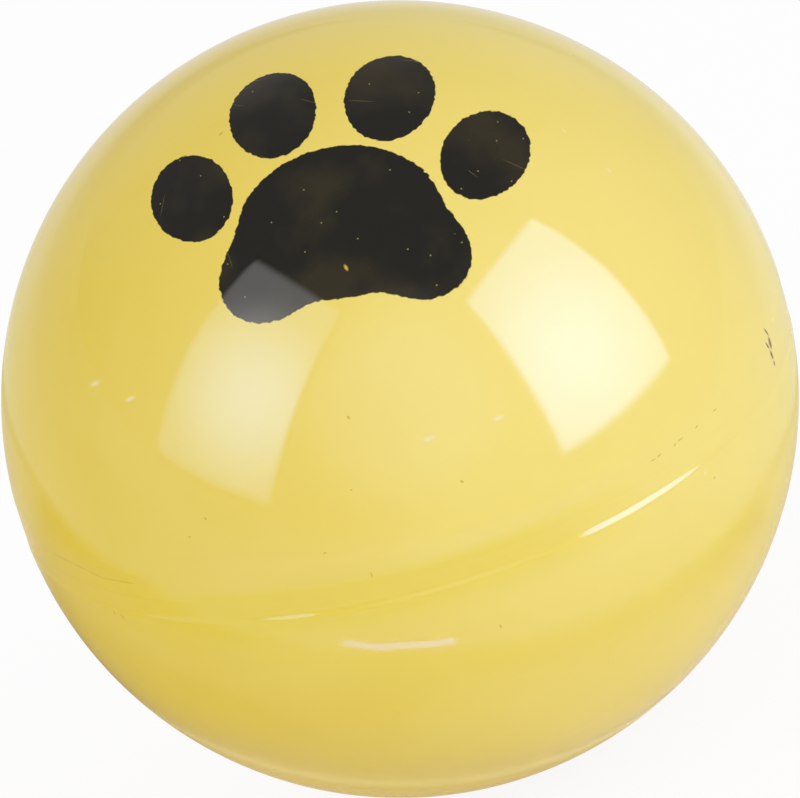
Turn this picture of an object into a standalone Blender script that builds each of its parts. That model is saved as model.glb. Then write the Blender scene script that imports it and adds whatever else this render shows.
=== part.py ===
"""Light-up cat ball: two welded half shells round a flashing module that a motion switch turns on.

The ball is centred on the origin with its weld seam level, and +Z is the pole of the printed upper shell.
The module stands on the bottom of the lower shell and stacks up from there: cup, cells, board, lights.
"""

import math

import bmesh
import bpy
from mathutils import Matrix, Vector

MM = 0.001

# Ball and its weld seam
BALL_DIAMETER = 45.0 * MM
SHELL_WALL = 2.0 * MM
SEAM_GAP = 0.06 * MM
GROOVE_HALF_WIDTH = 1.3 * MM
GROOVE_FLAT_HALF_WIDTH = 0.65 * MM
GROOVE_DEPTH = 0.16 * MM
TONGUE_HEIGHT = 1.6 * MM
TONGUE_THICKNESS = 0.9 * MM
TONGUE_CLEARANCE = 0.1 * MM

# Gap left between pieces that touch or are soldered
SEAT_GAP = 0.1 * MM

# Button cells, three in a stack, with the cap of each one facing down
CELL_NAMES = ("button_cell_bottom", "button_cell_middle", "button_cell_top")
CELL_DIAMETER = 11.6 * MM
CELL_HEIGHT = 5.4 * MM
CELL_EDGE = 0.3 * MM
CAP_DIAMETER = 9.2 * MM
CAP_HEIGHT = 0.5 * MM
CAP_EDGE = 0.15 * MM

# Battery carrier: a cup for the cells, with a flange as wide as the board
CELL_PLAY = 0.25 * MM
CUP_WALL = 1.2 * MM
CUP_FLOOR = 1.0 * MM
CUP_CORNER = 0.5 * MM
CUP_SHELL_GAP = 0.25 * MM
FLANGE_THICKNESS = 1.5 * MM

# Contacts under and over the stack
STRIP_THICKNESS = 0.3 * MM
STRIP_WIDTH = 2.4 * MM
STRIP_CLEARANCE = 0.15 * MM
STRIP_OVERHANG = 3.5 * MM
STRIP_TAIL = 1.2 * MM
POSITIVE_TAB_RADIUS = 10.0 * MM
CONTACT_WIRE = 0.4 * MM
CONTACT_TURNS = 2.5
CONTACT_HEIGHT = 1.4 * MM
CONTACT_BASE_DIAMETER = 8.4 * MM
CONTACT_TOP_DIAMETER = 4.4 * MM
FOAM_DIAMETER = 8.0 * MM
FOAM_THICKNESS = 0.8 * MM

# Circuit board and the screws that hold it and the carrier on the lower shell's posts
BOARD_DIAMETER = 28.0 * MM
BOARD_THICKNESS = 1.0 * MM
BOLT_CIRCLE_DIAMETER = 23.0 * MM
SCREW_ANGLES = (30.0, 150.0, 270.0)
SCREW_DIAMETER = 1.7 * MM
SCREW_LENGTH = 8.0 * MM
SCREW_POINT = 0.8 * MM
SCREW_CLEARANCE = 0.15 * MM
SCREW_HEAD_DIAMETER = 3.2 * MM
SCREW_HEAD_HEIGHT = 1.2 * MM
RECESS_WIDTH = 0.4 * MM
RECESS_LENGTH = 1.8 * MM
RECESS_DEPTH = 0.6 * MM
PILOT_RUNOUT = 1.0 * MM
POST_WALL = 1.1 * MM

# Lights, each with two leads and a resistor
LED_ANGLES = {"red_led": 90.0, "green_led": 210.0, "blue_led": 330.0}
LED_CIRCLE_DIAMETER = 18.0 * MM
LED_DIAMETER = 5.0 * MM
LED_HEIGHT = 8.6 * MM
LED_RIM_WIDTH = 0.4 * MM
LED_RIM_HEIGHT = 1.0 * MM
LEAD_PITCH = 2.54 * MM
LEAD_WIDTH = 0.5 * MM
LEAD_CLEARANCE = 0.1 * MM
LEAD_TAIL = 0.8 * MM

# Small parts on the board
RESISTOR_SIZE = (2.0 * MM, 1.25 * MM, 0.5 * MM)
CAPACITOR_SIZE = (2.0 * MM, 1.25 * MM, 1.0 * MM)
CHIP_EDGE = 0.1 * MM
RESISTOR_LED_GAP = 0.6 * MM
SWITCH_SIDE_GAP = 1.5 * MM
CAPACITOR_ANGLE = 270.0
BLOB_DIAMETER = 4.4 * MM
BLOB_HEIGHT = 1.2 * MM
BLOB_ANGLE = 30.0

# Motion switch: a coil that sways on a base until it meets the pin in its middle
SWITCH_COIL_DIAMETER = 4.0 * MM
SWITCH_WIRE = 0.3 * MM
SWITCH_TURNS = 8.0
SWITCH_COIL_HEIGHT = 9.0 * MM
SWITCH_FOOT_GAP = 0.45 * MM
SWITCH_BOSS_CLEARANCE = 0.3 * MM
SWITCH_BOSS_HEIGHT = 2.0 * MM
SWITCH_SHOULDER_WIDTH = 0.5 * MM
SWITCH_SHOULDER_HEIGHT = 0.8 * MM
PIN_DIAMETER = 0.8 * MM
PIN_HEIGHT = 7.6 * MM
PIN_CLEARANCE = 0.1 * MM

# Mesh fineness
BALL_STEPS = 48
BALL_ARC_STEPS = 14
ROUND_STEPS = 28
SMALL_STEPS = 16
DOME_STEPS = 6
WIRE_STEPS_PER_TURN = 12
WIRE_RESOLUTION = 2
MERGE_DISTANCE = 0.001 * MM
SHARP_EDGE_DEG = 30.0

# Colours (red, green, blue), roughness and metallic of each material
FINISHES = {
    "shell_yellow": ((0.82, 0.66, 0.15), 0.08, 0.0),
    "carrier_black": ((0.03, 0.03, 0.03), 0.5, 0.0),
    "cell_steel": ((0.62, 0.61, 0.58), 0.28, 1.0),
    "contact_nickel": ((0.58, 0.55, 0.5), 0.3, 1.0),
    "foam_grey": ((0.12, 0.12, 0.12), 0.95, 0.0),
    "board_green": ((0.03, 0.18, 0.06), 0.4, 0.0),
    "lens_red": ((0.75, 0.03, 0.02), 0.1, 0.0),
    "lens_green": ((0.04, 0.55, 0.08), 0.1, 0.0),
    "lens_blue": ((0.04, 0.12, 0.75), 0.1, 0.0),
    "lead_tin": ((0.66, 0.66, 0.64), 0.35, 1.0),
    "epoxy_black": ((0.012, 0.012, 0.012), 0.25, 0.0),
    "ceramic_tan": ((0.45, 0.32, 0.2), 0.5, 0.0),
    "switch_brass": ((0.72, 0.5, 0.2), 0.3, 1.0),
    "spring_steel": ((0.6, 0.6, 0.6), 0.3, 1.0),
    "screw_zinc": ((0.55, 0.55, 0.54), 0.35, 1.0),
}

# Radii of the ball and of what the cells set
ball_radius = BALL_DIAMETER / 2
inner_radius = ball_radius - SHELL_WALL
cell_radius = CELL_DIAMETER / 2
cup_inner_radius = cell_radius + CELL_PLAY
cup_outer_radius = cup_inner_radius + CUP_WALL
screw_radius = SCREW_DIAMETER / 2
screw_hole_radius = screw_radius + SCREW_CLEARANCE
post_radius = screw_hole_radius + POST_WALL
bolt_circle_radius = BOLT_CIRCLE_DIAMETER / 2

# Heights of the stack, from the bottom of the cup up
cup_bottom = CUP_SHELL_GAP - math.sqrt(inner_radius**2 - (cup_outer_radius - CUP_CORNER) ** 2)
cup_floor_top = cup_bottom + CUP_FLOOR
negative_bottom = cup_floor_top + SEAT_GAP
contact_bottom = negative_bottom + STRIP_THICKNESS + SEAT_GAP
stack_bottom = contact_bottom + CONTACT_HEIGHT + SEAT_GAP
cell_pitch = CELL_HEIGHT + SEAT_GAP
stack_top = stack_bottom + len(CELL_NAMES) * cell_pitch - SEAT_GAP
flange_top = stack_top
flange_bottom = flange_top - FLANGE_THICKNESS
positive_bottom = stack_top + SEAT_GAP
foam_bottom = positive_bottom + STRIP_THICKNESS + SEAT_GAP
board_bottom = foam_bottom + FOAM_THICKNESS + SEAT_GAP
board_top = board_bottom + BOARD_THICKNESS
parts_bottom = board_top + SEAT_GAP
strip_top = board_top + STRIP_TAIL
screw_tip = parts_bottom - SCREW_LENGTH

# The switch coil, its hinge on the base and its bore
coil_radius = SWITCH_COIL_DIAMETER / 2
shoulder_radius = coil_radius + SWITCH_SHOULDER_WIDTH
coil_inner_radius = coil_radius - SWITCH_WIRE
boss_radius = coil_inner_radius - SWITCH_BOSS_CLEARANCE
shoulder_top = parts_bottom + SWITCH_SHOULDER_HEIGHT
coil_bottom = shoulder_top + SWITCH_FOOT_GAP
hinge_height = shoulder_top + SWITCH_BOSS_HEIGHT / 2
pin_top = parts_bottom + PIN_HEIGHT


def polar(radius, angle_deg, height=0.0):
    """Point at a radius and an angle round the ball's axis."""
    angle = math.radians(angle_deg)
    return Vector((radius * math.cos(angle), radius * math.sin(angle), height))


def arc(radius, start_deg, end_deg, steps, centre_height=0.0):
    """Profile points along an arc whose centre is on the axis, by angle above the level."""
    points = []
    for step in range(steps + 1):
        angle = math.radians(start_deg + (end_deg - start_deg) * step / steps)
        points.append((radius * math.cos(angle), centre_height + radius * math.sin(angle)))
    return points


def low_dome(radius, height):
    """Profile of a dome flatter than a half ball, from its top to its rim."""
    return [(across, rise * height / radius) for across, rise in arc(radius, 90.0, 0.0, DOME_STEPS)]


def add_object(name, data, collection):
    obj = bpy.data.objects.new(name, data)
    collection.objects.link(obj)
    return obj


def turned(name, profile, steps, collection, place=(0.0, 0.0, 0.0)):
    """Solid of revolution; the profile runs from axis to axis, down its outer side."""
    mesh = bpy.data.meshes.new(name)
    verts = [(max(radius, 0.0), 0.0, height) for radius, height in profile]
    edges = [(index, index + 1) for index in range(len(verts) - 1)]
    mesh.from_pydata(verts, edges, [])
    obj = add_object(name, mesh, collection)
    obj.location = place
    screw = obj.modifiers.new("Turn", "SCREW")
    screw.axis = "Z"
    screw.steps = steps
    screw.render_steps = steps
    screw.use_merge_vertices = True
    screw.merge_threshold = MERGE_DISTANCE
    return obj


def take_shape(name, shape, collection):
    """New object that takes over a finished bmesh."""
    mesh = bpy.data.meshes.new(name)
    shape.to_mesh(mesh)
    shape.free()
    return add_object(name, mesh, collection)


def rod(name, radius, bottom, top, steps, collection, place=(0.0, 0.0, 0.0)):
    """Upright cylinder between two heights."""
    shape = bmesh.new()
    bmesh.ops.create_cone(
        shape,
        cap_ends=True,
        segments=steps,
        radius1=radius,
        radius2=radius,
        depth=top - bottom,
        matrix=Matrix.Translation((0.0, 0.0, (bottom + top) / 2)),
    )
    obj = take_shape(name, shape, collection)
    obj.data.shade_smooth()
    obj.data.set_sharp_from_angle(angle=math.radians(SHARP_EDGE_DEG))
    obj.location = place
    return obj


def box(name, size, centre, collection, turn_deg=0.0):
    """Block of this size, turned about its upright."""
    shape = bmesh.new()
    bmesh.ops.create_cube(shape, size=1.0, matrix=Matrix.Diagonal((*size, 1.0)))
    obj = take_shape(name, shape, collection)
    obj.location = centre
    obj.rotation_euler.z = math.radians(turn_deg)
    return obj


def strip(name, outline, width, collection):
    """Bent strip: its side outline in X and Z, extruded along Y."""
    curve = bpy.data.curves.new(name, "CURVE")
    curve.dimensions = "2D"
    curve.fill_mode = "BOTH"
    curve.extrude = width / 2
    spline = curve.splines.new("POLY")
    spline.points.add(len(outline) - 1)
    for point, (across, height) in zip(spline.points, outline):
        point.co = (across, height, 0.0, 1.0)
    spline.use_cyclic_u = True
    obj = add_object(name, curve, collection)
    obj.rotation_euler.x = math.pi / 2
    return obj


def coil(name, base_diameter, top_diameter, wire, height, turns, collection, place):
    """Coil of round wire; the diameters are over the wire, and the height too."""
    curve = bpy.data.curves.new(name, "CURVE")
    curve.dimensions = "3D"
    curve.bevel_depth = wire / 2
    curve.bevel_resolution = WIRE_RESOLUTION
    curve.use_fill_caps = True
    spline = curve.splines.new("POLY")
    count = round(turns * WIRE_STEPS_PER_TURN)
    spline.points.add(count)
    base_radius = (base_diameter - wire) / 2
    top_radius = (top_diameter - wire) / 2
    for index, point in enumerate(spline.points):
        share = index / count
        radius = base_radius + (top_radius - base_radius) * share
        spot = polar(radius, 360.0 * turns * share, wire / 2 + (height - wire) * share)
        point.co = (*spot, 1.0)
    obj = add_object(name, curve, collection)
    obj.location = place
    return obj


def combine(obj, others, operation):
    """Boolean each of the others into the object."""
    for other in others:
        other.hide_render = True
        other.display_type = "WIRE"
        boolean = obj.modifiers.new(other.name, "BOOLEAN")
        boolean.operation = operation
        boolean.solver = "EXACT"
        boolean.object = other


def ease_edges(obj, width):
    bevel = obj.modifiers.new("Edges", "BEVEL")
    bevel.width = width
    bevel.segments = 2


def paint(obj, finish):
    """Give the object its material, made once for each finish."""
    material = bpy.data.materials.get(finish)
    if material is None:
        colour, roughness, metallic = FINISHES[finish]
        material = bpy.data.materials.new(finish)
        material.use_nodes = True
        shader = material.node_tree.nodes["Principled BSDF"]
        shader.inputs["Base Color"].default_value = (*colour, 1.0)
        shader.inputs["Roughness"].default_value = roughness
        shader.inputs["Metallic"].default_value = metallic
        material.diffuse_color = (*colour, 1.0)
    obj.data.materials.append(material)
    return obj


def make_shells(parts, tools):
    """Half shells: the lower one's tongue sits in a rebate of the upper one, behind the seam groove."""
    seam = SEAM_GAP / 2
    groove_angle = math.degrees(math.asin(GROOVE_HALF_WIDTH / ball_radius))
    groove_radius = ball_radius - GROOVE_DEPTH
    groove_flat_radius = math.sqrt(ball_radius**2 - GROOVE_FLAT_HALF_WIDTH**2) - GROOVE_DEPTH
    tongue_radius = inner_radius + TONGUE_THICKNESS
    rebate_radius = tongue_radius + TONGUE_CLEARANCE
    rebate_top = TONGUE_HEIGHT + TONGUE_CLEARANCE
    rebate_angle = math.degrees(math.asin(rebate_top / inner_radius))

    upper = arc(ball_radius, 90.0, groove_angle, BALL_ARC_STEPS)
    upper += [(groove_flat_radius, GROOVE_FLAT_HALF_WIDTH), (groove_radius, seam)]
    upper += [(rebate_radius, seam), (rebate_radius, rebate_top)]
    upper += arc(inner_radius, rebate_angle, 90.0, BALL_ARC_STEPS)
    paint(turned("upper_shell", upper, BALL_STEPS, parts), "shell_yellow")

    lower = arc(inner_radius, -90.0, 0.0, BALL_ARC_STEPS)
    lower += [(inner_radius, TONGUE_HEIGHT), (tongue_radius, TONGUE_HEIGHT), (tongue_radius, -seam)]
    lower += [(groove_radius, -seam), (groove_flat_radius, -GROOVE_FLAT_HALF_WIDTH)]
    lower += arc(ball_radius, -groove_angle, -90.0, BALL_ARC_STEPS)
    shell = paint(turned("lower_shell", lower, BALL_STEPS, parts), "shell_yellow")

    # Posts run from the middle of the wall up to the flange, and are drilled for the screws
    shape = bmesh.new()
    bmesh.ops.create_uvsphere(
        shape, u_segments=BALL_STEPS, v_segments=2 * BALL_ARC_STEPS, radius=inner_radius + SHELL_WALL / 2
    )
    root = take_shape("post_root", shape, tools)
    post_top = flange_bottom - SEAT_GAP
    pilot_bottom = screw_tip - PILOT_RUNOUT
    posts = []
    pilots = []
    for number, angle in enumerate(SCREW_ANGLES, start=1):
        place = polar(bolt_circle_radius, angle)
        post = rod(f"post_{number}", post_radius, -ball_radius, post_top, ROUND_STEPS, tools, place)
        combine(post, [root], "INTERSECT")
        posts.append(post)
        pilot = rod(f"pilot_{number}", screw_hole_radius, pilot_bottom, flange_top, SMALL_STEPS, tools, place)
        pilots.append(pilot)
    combine(shell, posts, "UNION")
    combine(shell, pilots, "DIFFERENCE")


def make_carrier(parts, tools):
    """Cup for the cells with a flange, three stand-offs under the board, and a way out for the strip."""
    flange_radius = BOARD_DIAMETER / 2
    profile = [
        (0.0, cup_floor_top),
        (cup_inner_radius, cup_floor_top),
        (cup_inner_radius, flange_top),
        (flange_radius, flange_top),
        (flange_radius, flange_bottom),
        (cup_outer_radius, flange_bottom),
        (cup_outer_radius, cup_bottom + CUP_CORNER),
        (cup_outer_radius - CUP_CORNER, cup_bottom),
        (0.0, cup_bottom),
    ]
    carrier = paint(turned("battery_carrier", profile, ROUND_STEPS, parts), "carrier_black")

    flange_middle = (flange_bottom + flange_top) / 2
    standoff_top = board_bottom - SEAT_GAP
    bore_bottom = flange_bottom - SEAT_GAP
    standoffs = []
    bores = []
    for number, angle in enumerate(SCREW_ANGLES, start=1):
        place = polar(bolt_circle_radius, angle)
        name = f"standoff_{number}"
        standoffs.append(rod(name, post_radius, flange_middle, standoff_top, ROUND_STEPS, tools, place))
        bore = rod(f"bore_{number}", screw_hole_radius, bore_bottom, board_top, SMALL_STEPS, tools, place)
        bores.append(bore)
    combine(carrier, standoffs, "UNION")
    combine(carrier, bores, "DIFFERENCE")

    slot_width = STRIP_WIDTH + 2 * STRIP_CLEARANCE
    slot_outer = negative_tab_radius() + STRIP_THICKNESS + STRIP_CLEARANCE
    window_length = slot_outer - cup_inner_radius / 2
    window_bottom = cup_floor_top
    window_top = negative_bottom + STRIP_THICKNESS + STRIP_CLEARANCE
    window = box(
        "strip_window",
        (window_length, slot_width, window_top - window_bottom),
        (-slot_outer + window_length / 2, 0.0, (window_top + window_bottom) / 2),
        tools,
    )
    slot = strip_slot("flange_slot", -negative_tab_radius(), flange_middle, 2 * FLANGE_THICKNESS, tools)
    combine(carrier, [window, slot], "DIFFERENCE")


def negative_tab_radius():
    """Inner side of the negative strip, where it runs up outside the cup."""
    return cup_outer_radius + STRIP_CLEARANCE


def strip_slot(name, inner_side, middle_height, height, tools):
    """Cutter for a strip's upright, whose inner side is at this X."""
    direction = math.copysign(1.0, inner_side)
    size = (STRIP_THICKNESS + 2 * STRIP_CLEARANCE, STRIP_WIDTH + 2 * STRIP_CLEARANCE, height)
    return box(name, size, (inner_side + direction * STRIP_THICKNESS / 2, 0.0, middle_height), tools)


def make_power(parts):
    """Cells, and the contacts that take their two ends up through the board."""
    cap_radius = CAP_DIAMETER / 2
    profile = [
        (0.0, CELL_HEIGHT),
        (cell_radius - CELL_EDGE, CELL_HEIGHT),
        (cell_radius, CELL_HEIGHT - CELL_EDGE),
        (cell_radius, CAP_HEIGHT + CELL_EDGE),
        (cell_radius - CELL_EDGE, CAP_HEIGHT),
        (cap_radius, CAP_HEIGHT),
        (cap_radius, CAP_EDGE),
        (cap_radius - CAP_EDGE, 0.0),
        (0.0, 0.0),
    ]
    for number, name in enumerate(CELL_NAMES):
        place = (0.0, 0.0, stack_bottom + number * cell_pitch)
        paint(turned(name, profile, ROUND_STEPS, parts, place), "cell_steel")

    inside = negative_tab_radius()
    outside = inside + STRIP_THICKNESS
    foot_top = negative_bottom + STRIP_THICKNESS
    foot = [(STRIP_OVERHANG, negative_bottom), (STRIP_OVERHANG, foot_top), (-inside, foot_top)]
    riser = [(-inside, strip_top), (-outside, strip_top), (-outside, negative_bottom)]
    paint(strip("negative_contact", foot + riser, STRIP_WIDTH, parts), "contact_nickel")

    spring_place = (0.0, 0.0, contact_bottom)
    spring = coil(
        "negative_spring",
        CONTACT_BASE_DIAMETER,
        CONTACT_TOP_DIAMETER,
        CONTACT_WIRE,
        CONTACT_HEIGHT,
        CONTACT_TURNS,
        parts,
        spring_place,
    )
    paint(spring, "contact_nickel")

    outside = POSITIVE_TAB_RADIUS + STRIP_THICKNESS
    bar_top = positive_bottom + STRIP_THICKNESS
    bar = [(-STRIP_OVERHANG, bar_top), (-STRIP_OVERHANG, positive_bottom), (outside, positive_bottom)]
    riser = [(outside, strip_top), (POSITIVE_TAB_RADIUS, strip_top), (POSITIVE_TAB_RADIUS, bar_top)]
    paint(strip("positive_contact", bar + riser, STRIP_WIDTH, parts), "contact_nickel")

    foam = rod("foam_pad", FOAM_DIAMETER / 2, foam_bottom, foam_bottom + FOAM_THICKNESS, ROUND_STEPS, parts)
    paint(foam, "foam_grey")


def lead_places(angle_deg):
    """Where the two leads of the light at this angle go through the board."""
    middle = polar(LED_CIRCLE_DIAMETER / 2, angle_deg)
    step = polar(LEAD_PITCH / 2, angle_deg + 90.0)
    return {"anode": middle + step, "cathode": middle - step}


def make_board(parts, tools):
    """Round board with a hole or slot for all that goes through it."""
    board = rod("circuit_board", BOARD_DIAMETER / 2, board_bottom, board_top, BALL_STEPS, parts)
    paint(board, "board_green")
    middle = (board_bottom + board_top) / 2
    depth = 2 * BOARD_THICKNESS
    low = middle - depth / 2
    high = middle + depth / 2
    cutters = []
    for number, angle in enumerate(SCREW_ANGLES, start=1):
        place = polar(bolt_circle_radius, angle)
        cutters.append(rod(f"board_bore_{number}", screw_hole_radius, low, high, SMALL_STEPS, tools, place))
    hole_width = LEAD_WIDTH + 2 * LEAD_CLEARANCE
    for light, angle in LED_ANGLES.items():
        for side, place in lead_places(angle).items():
            place.z = middle
            cutters.append(box(f"{light}_{side}_hole", (hole_width, hole_width, depth), place, tools, angle))
    cutters.append(strip_slot("positive_slot", POSITIVE_TAB_RADIUS, middle, depth, tools))
    cutters.append(strip_slot("negative_slot", -negative_tab_radius(), middle, depth, tools))
    cutters.append(rod("pin_hole", PIN_DIAMETER / 2 + PIN_CLEARANCE, low, high, SMALL_STEPS, tools))
    combine(board, cutters, "DIFFERENCE")


def make_lights(parts):
    """Three round lights with their leads, and the resistor of each beside it."""
    radius = LED_DIAMETER / 2
    rim = radius + LED_RIM_WIDTH
    profile = arc(radius, 90.0, 0.0, DOME_STEPS, LED_HEIGHT - radius)
    profile += [(radius, LED_RIM_HEIGHT), (rim, LED_RIM_HEIGHT), (rim, 0.0), (0.0, 0.0)]
    resistor_radius = LED_CIRCLE_DIAMETER / 2 - rim - RESISTOR_LED_GAP - RESISTOR_SIZE[1] / 2
    lead_top = parts_bottom - SEAT_GAP / 2
    lead_bottom = board_bottom - LEAD_TAIL
    lead_size = (LEAD_WIDTH, LEAD_WIDTH, lead_top - lead_bottom)
    for light, angle in LED_ANGLES.items():
        colour = light.split("_")[0]
        place = polar(LED_CIRCLE_DIAMETER / 2, angle, parts_bottom)
        paint(turned(light, profile, ROUND_STEPS, parts, place), f"lens_{colour}")
        for side, spot in lead_places(angle).items():
            spot.z = (lead_top + lead_bottom) / 2
            paint(box(f"{light}_{side}", lead_size, spot, parts, angle), "lead_tin")
        add_chip(f"{colour}_resistor", RESISTOR_SIZE, resistor_radius, angle, "epoxy_black", parts)


def add_chip(name, size, radius, angle, finish, parts):
    """Small block on the board, lying across its radius."""
    centre = polar(radius, angle, parts_bottom + size[2] / 2)
    chip = paint(box(name, size, centre, parts, angle + 90.0), finish)
    ease_edges(chip, CHIP_EDGE)


def make_driver(parts):
    """The flasher chip under its drop of epoxy, and the capacitor."""
    radius = BLOB_DIAMETER / 2
    dome = low_dome(radius, BLOB_HEIGHT)
    clear_of_switch = shoulder_radius + SWITCH_SIDE_GAP
    place = polar(clear_of_switch + radius, BLOB_ANGLE, parts_bottom)
    paint(turned("chip_blob", dome + [(0.0, 0.0)], ROUND_STEPS, parts, place), "epoxy_black")
    capacitor_radius = clear_of_switch + CAPACITOR_SIZE[1] / 2
    add_chip("capacitor", CAPACITOR_SIZE, capacitor_radius, CAPACITOR_ANGLE, "ceramic_tan", parts)


def make_switch(parts):
    """Motion switch on the ball's axis; the coil's origin is on its hinge."""
    bore = PIN_DIAMETER / 2 + PIN_CLEARANCE
    boss_top = shoulder_top + SWITCH_BOSS_HEIGHT
    profile = [
        (bore, parts_bottom),
        (bore, boss_top),
        (boss_radius, boss_top),
        (boss_radius, shoulder_top),
        (shoulder_radius, shoulder_top),
        (shoulder_radius, parts_bottom),
        (bore, parts_bottom),
    ]
    paint(turned("switch_base", profile, ROUND_STEPS, parts), "carrier_black")
    paint(rod("switch_pin", PIN_DIAMETER / 2, board_bottom, pin_top, SMALL_STEPS, parts), "switch_brass")

    spring = coil(
        "motion_spring",
        SWITCH_COIL_DIAMETER,
        SWITCH_COIL_DIAMETER,
        SWITCH_WIRE,
        SWITCH_COIL_HEIGHT,
        SWITCH_TURNS,
        parts,
        (0.0, 0.0, hinge_height),
    )
    for point in spring.data.splines[0].points:
        point.co.z += coil_bottom - hinge_height
    paint(spring, "spring_steel")


def make_screws(parts, tools):
    """Three self-tapping screws through the board and the carrier into the posts."""
    head_radius = SCREW_HEAD_DIAMETER / 2
    dome = low_dome(head_radius, SCREW_HEAD_HEIGHT)
    shank = [(screw_radius, 0.0), (screw_radius, SCREW_POINT - SCREW_LENGTH), (0.0, -SCREW_LENGTH)]
    for number, angle in enumerate(SCREW_ANGLES, start=1):
        place = polar(bolt_circle_radius, angle, parts_bottom)
        screw = paint(turned(f"module_screw_{number}", dome + shank, SMALL_STEPS, parts, place), "screw_zinc")
        centre = place + Vector((0.0, 0.0, SCREW_HEAD_HEIGHT))
        size = (RECESS_LENGTH, RECESS_WIDTH, 2 * RECESS_DEPTH)
        arms = [box(f"recess_{number}_{turn:.0f}", size, centre, tools, turn) for turn in (0.0, 90.0)]
        combine(screw, arms, "DIFFERENCE")


def main():
    for obj in list(bpy.data.objects):
        bpy.data.objects.remove(obj, do_unlink=True)
    parts = bpy.data.collections.new("light_up_cat_ball")
    tools = bpy.data.collections.new("cutters")
    bpy.context.scene.collection.children.link(parts)
    bpy.context.scene.collection.children.link(tools)
    make_shells(parts, tools)
    make_carrier(parts, tools)
    make_power(parts)
    make_board(parts, tools)
    make_lights(parts)
    make_driver(parts)
    make_switch(parts)
    make_screws(parts, tools)


main()
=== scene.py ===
"""Light-up cat ball: the finish of every piece, and the studio that shows it."""

import math

import bpy
from mathutils import Euler, Matrix, Vector


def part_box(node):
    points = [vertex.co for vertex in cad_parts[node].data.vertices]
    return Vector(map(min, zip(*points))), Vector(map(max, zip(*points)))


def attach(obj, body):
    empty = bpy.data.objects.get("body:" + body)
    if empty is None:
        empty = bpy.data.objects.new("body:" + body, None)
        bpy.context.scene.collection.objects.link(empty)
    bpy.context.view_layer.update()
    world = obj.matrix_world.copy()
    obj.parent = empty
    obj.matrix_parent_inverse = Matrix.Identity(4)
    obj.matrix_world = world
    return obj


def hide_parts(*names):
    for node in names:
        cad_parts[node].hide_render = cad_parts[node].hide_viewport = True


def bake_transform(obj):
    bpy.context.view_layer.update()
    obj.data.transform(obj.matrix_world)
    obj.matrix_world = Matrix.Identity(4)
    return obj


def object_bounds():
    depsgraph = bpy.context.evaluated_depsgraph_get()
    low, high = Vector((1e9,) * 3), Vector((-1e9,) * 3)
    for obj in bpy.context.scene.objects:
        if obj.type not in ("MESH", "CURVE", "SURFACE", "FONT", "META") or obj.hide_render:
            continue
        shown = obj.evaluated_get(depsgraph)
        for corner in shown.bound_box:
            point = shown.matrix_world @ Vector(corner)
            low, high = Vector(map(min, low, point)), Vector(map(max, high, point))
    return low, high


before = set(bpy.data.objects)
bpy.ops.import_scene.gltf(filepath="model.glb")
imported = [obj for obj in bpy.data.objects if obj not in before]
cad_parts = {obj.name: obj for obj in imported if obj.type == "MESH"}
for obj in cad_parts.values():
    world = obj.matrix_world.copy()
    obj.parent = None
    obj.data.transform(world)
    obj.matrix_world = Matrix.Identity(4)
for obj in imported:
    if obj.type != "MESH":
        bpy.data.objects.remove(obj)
cad_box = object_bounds()


# Battery carrier and switch base
# Black ABS mouldings that hold the cells and the switch. The tool is spark eroded, so the plastic has a fine
# matt grain with a slight grey bloom.
MM = 0.001
# Most of a noise pattern lies between these two values
NOISE_LOW, NOISE_HIGH = 0.3, 0.7
ABS_BLACK = (0.016, 0.016, 0.017)
ABS_BLOOM = (0.05, 0.05, 0.052)
ABS_ROUGHNESS = (0.48, 0.62)
BLOOM_SIZE = 6 * MM
SPARK_GRAIN = 0.12 * MM
SPARK_DEPTH = 0.015 * MM


def new_material(name, metallic=0.0):
    """Material, its node tree, its Principled shader and the object's own coordinates."""
    material = bpy.data.materials.new(name)
    material.use_nodes = True
    tree = material.node_tree
    shader = tree.nodes["Principled BSDF"]
    shader.inputs["Metallic"].default_value = metallic
    return material, tree, shader, tree.nodes.new("ShaderNodeTexCoord").outputs["Object"]


def add_node(tree, kind, inputs, **settings):
    """Add a node with these settings; each input is a fixed value or another node's output."""
    node = tree.nodes.new(kind)
    for name, value in settings.items():
        setattr(node, name, value)
    for name, value in inputs.items():
        if isinstance(value, bpy.types.NodeSocket):
            tree.links.new(value, node.inputs[name])
        else:
            node.inputs[name].default_value = value
    return node


def add_noise(tree, coords, size, detail=3.0, stretch=None):
    """Noise whose lumps are about this size, in metres; stretch scales each axis first."""
    if stretch:
        coords = add_node(tree, "ShaderNodeMapping", {"Vector": coords, "Scale": stretch}).outputs["Vector"]
    inputs = {"Vector": coords, "Scale": 1.0 / size, "Detail": detail}
    return add_node(tree, "ShaderNodeTexNoise", inputs).outputs["Fac"]


def add_range(tree, value, low, high, new_low, new_high, smooth=False):
    """Map a value from one range to another, held at its ends."""
    inputs = {"Value": value, "From Min": low, "From Max": high, "To Min": new_low, "To Max": new_high}
    easing = "SMOOTHSTEP" if smooth else "LINEAR"
    return add_node(tree, "ShaderNodeMapRange", inputs, interpolation_type=easing).outputs["Result"]


def add_mix(tree, factor, first, second):
    """Mix two colours; each is a tuple or a socket. The node's colour sockets are 6, 7 and 2."""
    first, second = ((*colour, 1.0) if isinstance(colour, tuple) else colour for colour in (first, second))
    return add_node(tree, "ShaderNodeMix", {0: factor, 6: first, 7: second}, data_type="RGBA").outputs[2]


def add_bump(tree, shader, height, depth):
    """Bump of this depth, in metres, for a height that runs from 0 to 1."""
    bump = add_node(tree, "ShaderNodeBump", {"Strength": 1.0, "Distance": depth, "Height": height})
    tree.links.new(bump.outputs["Normal"], shader.inputs["Normal"])


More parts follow.
